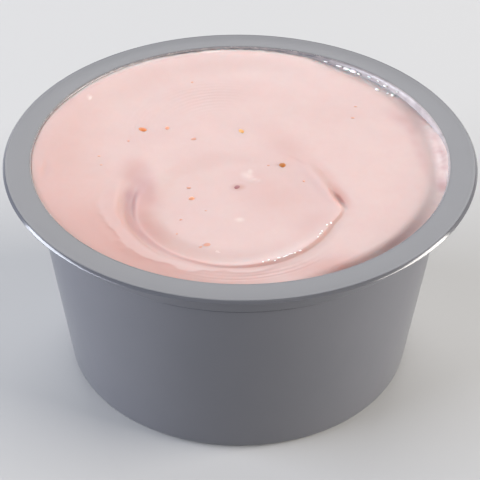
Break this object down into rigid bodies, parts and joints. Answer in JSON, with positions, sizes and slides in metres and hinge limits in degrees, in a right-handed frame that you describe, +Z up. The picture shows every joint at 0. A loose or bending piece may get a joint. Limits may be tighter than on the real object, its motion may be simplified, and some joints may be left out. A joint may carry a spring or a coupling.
{
  "type": "filled dessert cup",
  "caption": "Single-serve tapered plastic cup with a wide flat flange and a foot ring, filled to the brim with pink fruit cream whose last dollop lies in the surface as a tilted disc.",
  "frame": {"origin": "middle of the cup's base, on the plane that the foot ring stands on", "axes": "+Z up along the cup's axis; +Y points away from the picture's camera, towards the side where the cream is smooth; +X is the picture's right"},
  "size_m": [0.075, 0.075, 0.0373],
  "materials": {
    "cup_plastic": "cool grey moulded polypropylene, satin, with a matt sealing flange",
    "fruit_cream": "pale pink fruit cream, moist and smooth, with a soft sheen",
    "fruit_seed": "small orange-red and amber fruit seeds with dark purple flecks of fruit"
  },
  "bodies": {
    "root": {"cup": "cup_plastic", "dessert": "fruit_cream"}
  },
  "joints": []
}
